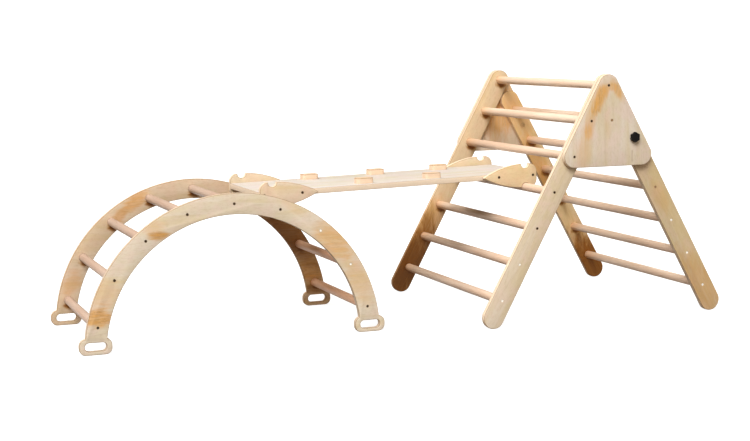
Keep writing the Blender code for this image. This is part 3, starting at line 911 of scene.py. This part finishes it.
# Dowels that stop the rear ladder's heads, with their free ends rounded
stopShape = {"radius": 0.008, "length": 0.017, "rim": (0.0015, 3), "sides": 40}


def makeStops(material):
    shape = stopShape
    middle = shape["length"] / 2 - ladderOuter
    place = (stopPlace.x, middle, stopPlace.z)
    dowel = addRound("looks_stop_dowel_near", shape["radius"], shape["length"], shape["sides"], place)
    roundRims(dowel, *shape["rim"], test=lambda edge: edge.verts[0].co.y > middle)
    smoothOver(dowel)
    settlePair(dowel, "stop_dowel", bothSides(material), "front_frame", "beech")


# The arch: a band spun round its centre, with two slotted feet
archShape = {
    "bandWidth": 0.066, "bandSteps": 110,
    "footLength": 0.100, "footHeight": 0.050, "footCorner": 0.021, "cornerSteps": 12,
    "slotLength": 0.066, "slotHeight": 0.026, "slotRoundShare": 0.999,
}
archLooks = {
    "near": {
        "heartAndShadePatches": (
            (-1.018, 0.114, 0.056, 0.036, 0, 1.0, 0.05),
            (-1.006, 0.190, 0.070, 0.050, 0, 0.40),
            (-0.828, 0.350, 0.040, 0.014, 0, 1.0, 0.2),
            (-0.842, 0.378, 0.040, 0.020, 10, 0.35),
            (-0.264, 0.300, 0.085, 0.052, -47, 0.72),
            (-0.182, 0.168, 0.095, 0.040, -64, 0.42),
            (-0.396, 0.412, 0.045, 0.018, -30, 0.25),
        ),
        "shift": 5.1, "tint": (0.99, 1.02, 1.06), "edgeShadeTint": (0.73, 0.71, 0.70),
    },
    "far": {
        "heartAndShadePatches": (
            (-0.786, 0.400, 0.055, 0.026, 35, 0.8),
            (-0.838, 0.357, 0.042, 0.020, 45, 0.7, 0.1),
            (-1.005, 0.140, 0.050, 0.030, 60, 0.45),
            # Painted shade: the patches on the right leg and its foot, in the board's shade
            (-0.248, 0.268, 0.155, 0.070, -47, 1.0, 0.75),
            (-0.166, 0.125, 0.080, 0.060, -78, 1.0),
            (-0.146, 0.060, 0.060, 0.024, 0, 0.8, 0.8),
            (-0.146, 0.020, 0.080, 0.030, 0, 0.5, 0.5),
        ),
        "shift": 7.7, "warmth": 0.1, "tint": (0.89, 0.85, 0.82), "edgeShadeTint": (0.74, 0.69, 0.65),
        "edgeHeartAndShade": 0.7,
    },
}


# The rungs' circle: its centre and radius
def archCircle():
    first, crown, last = archRungs[0], archRungs[4], archRungs[8]
    reach = (last.x - first.x) / 2
    rise = crown.z - last.z
    radius = (reach**2 + rise**2) / (2 * rise)
    return flat((first.x + last.x) / 2, crown.z - radius), radius


# A long block with round corners, at the height of the feet: a foot, or the cutter of its slot
def addFoot(name, x, depth, length, height, corner):
    foot = addBox(name, (length, depth, height), (x, 0, archShape["footHeight"] / 2))
    startEdit(foot)
    pick(foot, "EDGE", lambda edge: abs(edge.verts[0].co.y - edge.verts[1].co.y) > depth / 2)
    bevelPicked(corner, archShape["cornerSteps"])
    endEdit()
    return foot


def makeArch():
    centre, radius = archCircle()
    shape = archShape
    footRise = shape["footHeight"] / 2 - centre.z
    footReach = math.sqrt(radius**2 - footRise**2)
    start = math.atan2(footRise, footReach)
    clearSelection()
    bpy.ops.mesh.primitive_plane_add(size=1)
    panel = nameNew("looks_arch_panel_near")
    section = Matrix.Translation((radius, 0, 0)) @ Matrix.Diagonal((shape["bandWidth"], stock["ply"], 1, 1))
    moveMesh(panel, Matrix.Translation(centre) @ Matrix.Rotation(-start, 4, "Y") @ section)
    startEdit(panel)
    sweep = math.pi - 2 * start
    bpy.ops.mesh.spin(steps=shape["bandSteps"], angle=sweep, center=centre, axis=(0, 1, 0))
    bpy.ops.mesh.select_all(action="SELECT")
    bpy.ops.mesh.remove_doubles(threshold=1e-6)
    bpy.ops.mesh.normals_make_consistent(inside=False)
    endEdit()
    footPlaces = [centre.x + way * footReach for way in (-1, 1)]
    size = (shape["footLength"], shape["footHeight"], shape["footCorner"])
    for x in footPlaces:
        combine(panel, addFoot("foot", x, stock["ply"], *size), "UNION")
    # Each flat side becomes one face
    startEdit(panel)
    pick(panel, "FACE", lambda face: abs(face.normal.y) > 0.99)
    bpy.ops.mesh.dissolve_limited(angle_limit=math.radians(0.5))
    endEdit()
    slotCorner = shape["slotHeight"] / 2 * shape["slotRoundShare"]
    size = (shape["slotLength"], shape["slotHeight"], slotCorner)
    for x in footPlaces:
        combine(panel, addFoot("slot", x, 3 * stock["ply"], *size))
    mergeDoubles(panel, stock["mergeReach"])
    roundRims(panel, *stock["rim"])
    moveMesh(panel, Matrix.Translation((0, stock["ply"] / 2 - archOuter, 0)))
    combine(panel, panelCutter("archCutter", archOuter, archRungs, archRungs))
    settleSheets(panel, "arch_panel", archLooks, tuple(centre), (0, 0, 0), "X", "arch", archRungs)


# The climbing board, in a frame whose origin is the ladder's hook and whose -X runs to the arch's
boardShape = {
    "width": 0.335, "thickness": 0.018, "rise": 0.039, "tail": 0.042, "edge": (0.0015, 3),
    "cheekHeight": 0.080, "cheekTip": 0.151, "tipHalf": 0.0015, "flankPower": 2.1, "flankSteps": 16,
    "tailCorner": (0.027, 12), "notchRadius": 0.0145, "notchSides": 64,
    "screwReaches": (0.098, -0.028),
    "blockSize": (0.056, 0.042, 0.018), "blockCorner": (0.010, 8), "blockRim": (0.0035, 4),
    "blockShift": 13.1,
}
boardLooks = {
    "panel": {"shift": 11.7, "tint": (0.85, 0.94, 1.14)},
    "block": {"warmth": 0.12, "tint": (0.97, 0.91, 0.89), "edgeShadeTint": (0.92, 0.86, 0.84)},
    "ladder_near": {"shift": 5.2, "warmth": 0.16, "tint": (1.06, 1.03, 0.87)},
    "ladder_far": {"shift": 7.2, "warmth": 0.14, "tint": (0.88, 0.90, 0.84)},
    "arch_near": {"shift": 9.4, "warmth": 0.14, "tint": (1.0, 1.0, 1.02)},
    "arch_far": {"shift": 11.4, "warmth": 0.2, "tint": (0.90, 0.93, 0.94)},
}


def boardFrame():
    hook, far = frontRungs[3], archRungs[5]
    slope = math.atan2(hook.z - far.z, hook.x - far.x)
    place = Matrix.Translation((hook.x, middleOf("board_panel").y, hook.z))
    return place @ Matrix.Rotation(-slope, 4, "Y"), slope, (far - hook).length


def boardMaterial(name, flatWay, **look):
    matrix, slope, _ = boardFrame()
    thick = (-math.sin(slope), 0, math.cos(slope)) if flatWay == "up" else (0, 1, 0)
    return plyMaterial(name, tuple(matrix.to_translation()), (0, -slope, 0), "X", thick, **look)


# A hook cheek with its screw pits to -Y, its tip to -X and its middle at the origin
def makeCheekMaster():
    shape = boardShape
    half = shape["cheekHeight"] / 2
    tip, tail = shape["cheekTip"], shape["tail"]
    cheek = addBox("cheek", (tip + tail, stock["ply"], 2 * half), ((tail - tip) / 2, 0, 0))
    startEdit(cheek)
    pick(cheek, "EDGE", lambda edge: edge.verts[0].co.y * edge.verts[1].co.y < 0 and edge.verts[0].co.x > 0)
    bevelPicked(*shape["tailCorner"])
    # The flanks fall to the tip along a power curve, one column of points after the other
    start = shape["notchRadius"] / tip
    steps = shape["flankSteps"]
    shares = [start + (1 - start) * i / steps for i in range(1, steps + 1)]
    for share in shares[:-1]:
        bpy.ops.mesh.select_all(action="SELECT")
        bpy.ops.mesh.bisect(plane_co=(-share * tip, 0, 0), plane_no=(1, 0, 0))
    for share in shares:
        pick(cheek, "VERT", lambda vertex: abs(vertex.co.x + share * tip) < 1e-5)
        height = 1 - (1 - shape["tipHalf"] / half) * share ** shape["flankPower"]
        bpy.ops.transform.resize(value=(1, 1, height), center_override=(0, 0, 0))
    endEdit()
    for way in (1, -1):
        place, depth = (0, 0, way * shape["rise"]), 3 * stock["ply"]
        combine(cheek, addRound("notch", shape["notchRadius"], depth, shape["notchSides"], place))
    mergeDoubles(cheek, stock["mergeReach"])
    roundRims(cheek, *stock["rim"])
    screws = [flat(-reach, 0) for reach in shape["screwReaches"]]
    combine(cheek, panelCutter("cheekCutter", stock["ply"] / 2, screws, []))
    smoothOver(cheek)
    return cheek


# The cheek is the same upside down, so half turns give all four
def makeCheeks():
    matrix, _, spacing = boardFrame()
    shape = boardShape
    reach = shape["width"] / 2 + stock["gap"] + stock["ply"] / 2
    master = makeCheekMaster()
    for end, hookX, side, axis in (
        ("ladder_near", 0, -1, None),
        ("ladder_far", 0, 1, "X"),
        ("arch_near", -spacing, -1, "Y"),
        ("arch_far", -spacing, 1, "Z"),
    ):
        turn = Matrix.Rotation(math.pi, 4, axis) if axis else Matrix()
        place = Matrix.Translation((hookX, side * reach, shape["rise"]))
        cheek = copyPiece(master, "looks_hook_cheek_" + end, matrix @ place @ turn)
        material = boardMaterial("birch_hook_cheek_" + end, "side", **boardLooks[end])
        settle(cheek, material, "board", "birch_ply", "hook_cheek_" + end)
    drop(master)


def makeBoard():
    matrix, _, spacing = boardFrame()
    shape = boardShape
    size = (spacing + 2 * shape["tail"], shape["width"], shape["thickness"])
    board = addBox("looks_board_panel", size, (-spacing / 2, 0, shape["rise"]))
    roundRims(board, *shape["edge"], axis=2)
    moveMesh(board, matrix)
    smoothOver(board)
    material = boardMaterial("birch_board", "up", **boardLooks["panel"])
    settle(board, material, "board", "birch_ply", "board_panel")


def makeBlocks():
    matrix, _, _ = boardFrame()
    shape = boardShape
    length, width, height = shape["blockSize"]
    first = addBox("looks_block", (length, width, height), (0, 0, height / 2))
    startEdit(first)
    pick(first, "EDGE", lambda edge: abs(edge.verts[0].co.z - edge.verts[1].co.z) > height / 2)
    bevelPicked(*shape["blockCorner"])
    endEdit()
    roundRims(first, *shape["blockRim"], axis=2, test=lambda edge: edge.verts[0].co.z > height / 2)
    smoothOver(first)
    base = shape["rise"] + shape["thickness"] / 2 + stock["gap"]
    for i in range(1, 6):
        node = f"climbing_block_{i}"
        spot = matrix.inverted() @ middleOf(node)
        block = copyPiece(first, "looks_" + node, matrix @ Matrix.Translation((spot.x, spot.y, base)))
        look = dict(boardLooks["block"], shift=shape["blockShift"] + i)
        material = boardMaterial("birch_" + node, "up", **look)
        settle(block, material, "board", "birch_ply", node)
    drop(first)


# Countersunk wood screws with a cross recess, and where each one sits
screwShape = {
    "headRadius": 0.00425, "headDepth": 0.0022, "shankRadius": 0.00225, "sides": 28,
    "lengths": {"rail": 0.040, "plate": 0.058, "cheek": 0.040, "stop": 0.026},
    "point": 0.005, "pointShare": 0.1, "rim": (0.0003, 2), "smoothAngle": 30,
    "slotWidth": 0.0011, "slotLength": 0.0046, "slotDepth": 0.0014,
    "sink": 0.0003, "spinSeed": 7, "throughPlate": 3,
    # Heads given the painted highlight, by rung number: near side only, but both for the rear ladder
    "bright": {"front": (6, 7), "rear": (5, 6, 7), "arch": (7, 8)},
}


# Built along Y, with its head's face at y = 0 and its point towards +Y, as on the near side
def makeScrewMaster(length):
    shape = screwShape
    head = shape["headDepth"]
    screw = addRound("screw", shape["headRadius"], head, shape["sides"], (0, head / 2, 0))
    startEdit(screw)
    pick(screw, "VERT", lambda vertex: vertex.co.y > head / 2)
    squeeze(shape["shankRadius"] / shape["headRadius"])
    pick(screw, "FACE", lambda face: face.normal.y > 0.9)
    for reach in (length - head - shape["point"], shape["point"]):
        bpy.ops.mesh.extrude_region_move(TRANSFORM_OT_translate={"value": (0, reach, 0)})
    squeeze(shape["pointShare"])
    pick(screw, "EDGE", lambda edge: rimEdge(edge) and edge.verts[0].co.y < 1e-5)
    bevelPicked(*shape["rim"])
    endEdit()
    for turn in (0, quarterTurn):
        slot = addBox("slot", (shape["slotLength"], 2 * shape["slotDepth"], shape["slotWidth"]))
        moveMesh(slot, Matrix.Rotation(turn, 4, "Y"))
        combine(screw, slot)
    smoothOver(screw, shape["smoothAngle"])
    return screw


# One row for each screw: name, whether it is a node, place, side, face, kind, body and finish
def screwRows():
    rows = []
    for label, side in sideWays.items():
        for group, spots, first, outer, body, plain in (
            ("front", frontRungs, 1, ladderOuter, "front_frame", "screwDark"),
            ("rear", rearRungs, 2, ladderOuter, "rear_ladder", "screwBrown"),
            ("arch", archRungs, 1, archOuter, "arch", "screwDark"),
        ):
            for number, spot in enumerate(spots, first):
                plated = group == "front" and number <= screwShape["throughPlate"]
                face, kind = (plateOuter, "plate") if plated else (outer, "rail")
                paintedShine = number in screwShape["bright"][group] and (label == "near" or group == "rear")
                finish = "screwPaintedHighlight" if paintedShine else plain
                name = f"screw_{group}_{label}_{number}"
                rows.append((name, False, spot, side, face, kind, body, finish))
        stop = ("stop", "front_frame", "screwBrown")
        rows.append(("stop_screw_" + label, True, stopPlace, side, plateOuter, *stop))
        for end in ("ladder", "arch"):
            low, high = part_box(f"hook_cheek_{end}_{label}")
            face = side * (low.y if side < 0 else high.y)
            for number in (1, 2):
                name = f"cheek_screw_{end}_{label}_{number}"
                rows.append((name, True, middleOf(name), side, face, "cheek", "board", "screwDark"))
    return rows


def placeScrews(finishes):
    masters = {kind: makeScrewMaster(length) for kind, length in screwShape["lengths"].items()}
    spins = random.Random(screwShape["spinSeed"])
    rows = screwRows()
    for name, isNode, spot, side, face, kind, body, finish in rows:
        way = Matrix.Rotation(0 if side < 0 else math.pi, 4, "Z")
        spin = Matrix.Rotation(spins.uniform(0, math.pi), 4, "Y")
        place = Matrix.Translation((spot.x, side * (face - screwShape["sink"]), spot.z))
        screw = copyPiece(masters[kind], ("looks_" if isNode else "") + name, place @ way @ spin)
        settle(screw, finishes[finish], body, "zinc_steel", *([name] if isNode else []))
    for master in masters.values():
        drop(master)
    return len(rows)


# Lobed knobs, their studs and the flanged inserts in the rear rails
knobShape = {
    "radius": 0.017, "thickness": 0.012, "sides": 144, "lobes": 6, "lobeDepth": 0.0024,
    "edge": (0.0024, 5), "smoothAngle": 32,
    # Each step of the dish in its face: the share it draws in to, and its depth
    "dish": ((0.78, 0), (0.94, 0.0009)),
    "hubRadius": 0.009, "hubHeight": 0.002, "hubSides": 64,
    "studRadius": 0.004, "studRim": (0.0007, 2), "studInKnob": 0.010, "boreRadius": 0.0043,
    "flangeRadius": 0.009, "flangeDepth": 0.0015, "flangeRim": (0.0005, 2), "flangeSides": 64,
    "insertRadius": 0.006, "insertLength": 0.013, "insertOverlap": 0.001, "hexRadius": 0.0052,
}


# Built on the near side: the hub starts at y = 0 and the head's face looks to -Y
def makeKnobs(material):
    shape = knobShape
    hub, reach = shape["hubHeight"], shape["hubHeight"] + shape["thickness"]
    place = (0, -(hub + reach) / 2, 0)
    knob = addRound("looks_pivot_knob_near", shape["radius"], shape["thickness"], shape["sides"], place)
    startEdit(knob)
    # Each column of points between two lobes moves in, one pair of columns after the other
    perLobe = shape["sides"] // shape["lobes"]
    for step in range(1, perLobe // 2 + 1):
        wave = (1 - math.cos(2 * math.pi * step / perLobe)) / 2
        pick(knob, "VERT", lambda vertex: columnOf(vertex.co) % perLobe in (step, perLobe - step))
        squeeze(1 - shape["lobeDepth"] * wave / shape["radius"])
    pick(knob, "EDGE", rimEdge)
    bevelPicked(*shape["edge"])
    # A shallow dish in the face, as moulded knobs have
    pick(knob, "FACE", lambda face: face.normal.y < -0.99 and face.calc_center_median().y < 1e-5 - reach)
    for share, depth in shape["dish"]:
        bpy.ops.mesh.extrude_region_move(TRANSFORM_OT_translate={"value": (0, depth, 0)})
        squeeze(share)
    endEdit()
    combine(knob, addRound("hub", shape["hubRadius"], 2 * hub, shape["hubSides"], (0, -hub, 0)), "UNION")
    depth = 2 * (shape["studInKnob"] + stock["gap"])
    combine(knob, addRound("bore", shape["boreRadius"], depth, stock["boreSides"]))
    moveMesh(knob, Matrix.Translation((pivot.x, -plateOuter - stock["gap"], pivot.z)))
    smoothOver(knob, shape["smoothAngle"])
    settlePair(knob, "pivot_knob", bothSides(material), "knob_{}", "black_plastic")


# Which of the knob's columns a point is in, counted from the top
def columnOf(place):
    return round(math.atan2(place.x, place.z) / (2 * math.pi) * knobShape["sides"])


def makePivots(steel):
    shape = knobShape
    inner = stock["ply"] - ladderOuter
    depth, length = shape["flangeDepth"], shape["insertLength"]
    flangeFace = inner + stock["gap"] + depth
    radius, sides = shape["flangeRadius"], shape["flangeSides"]
    insert = onPivot("looks_pivot_insert_near", radius, depth, sides, flangeFace - depth / 2)
    roundRims(insert, *shape["flangeRim"])
    y = inner - length / 2 + shape["insertOverlap"]
    combine(insert, onPivot("insertBody", shape["insertRadius"], length, stock["roundSides"], y), "UNION")
    combine(insert, onPivot("insertBore", shape["boreRadius"], 3 * length, stock["boreSides"], inner))
    combine(insert, onPivot("hexSocket", shape["hexRadius"], 4 * depth, 6, inner + depth))
    smoothOver(insert)
    settlePair(insert, "pivot_insert", bothSides(steel), "rear_ladder", "zinc_steel")

    length = flangeFace + plateOuter + shape["studInKnob"]
    radius, sides = shape["studRadius"], stock["boreSides"]
    stud = onPivot("looks_pivot_stud_near", radius, length, sides, flangeFace - length / 2)
    roundRims(stud, *shape["studRim"])
    smoothOver(stud)
    settlePair(stud, "pivot_stud", bothSides(steel), "knob_{}", "zinc_steel")


# Making it all
woods = {name: beechMaterial(name) for name in beechLook["tints"]}
steels = {name: steelMaterial(name) for name in steelLook["finishes"]}

makeLadders()
print("stage: ladders' rails")
makePlates()
makeRungs(woods)
makeStops(woods["goldenBeech"])
print("stage: plates, rungs and stops")
makeArch()
print("stage: arch")
makeBoard()
makeCheeks()
makeBlocks()
print("stage: board, cheeks and blocks")
screwCount = placeScrews(steels)
makeKnobs(knobMaterial())
makePivots(steels["insertSteel"])
print("stage: knobs and inserts, screws", screwCount)

makeCamera()
makeSky()
makeLamps()
makeFloor()
bpy.context.scene.view_settings.view_transform = "Standard"
print("stage: camera, lights and floor")
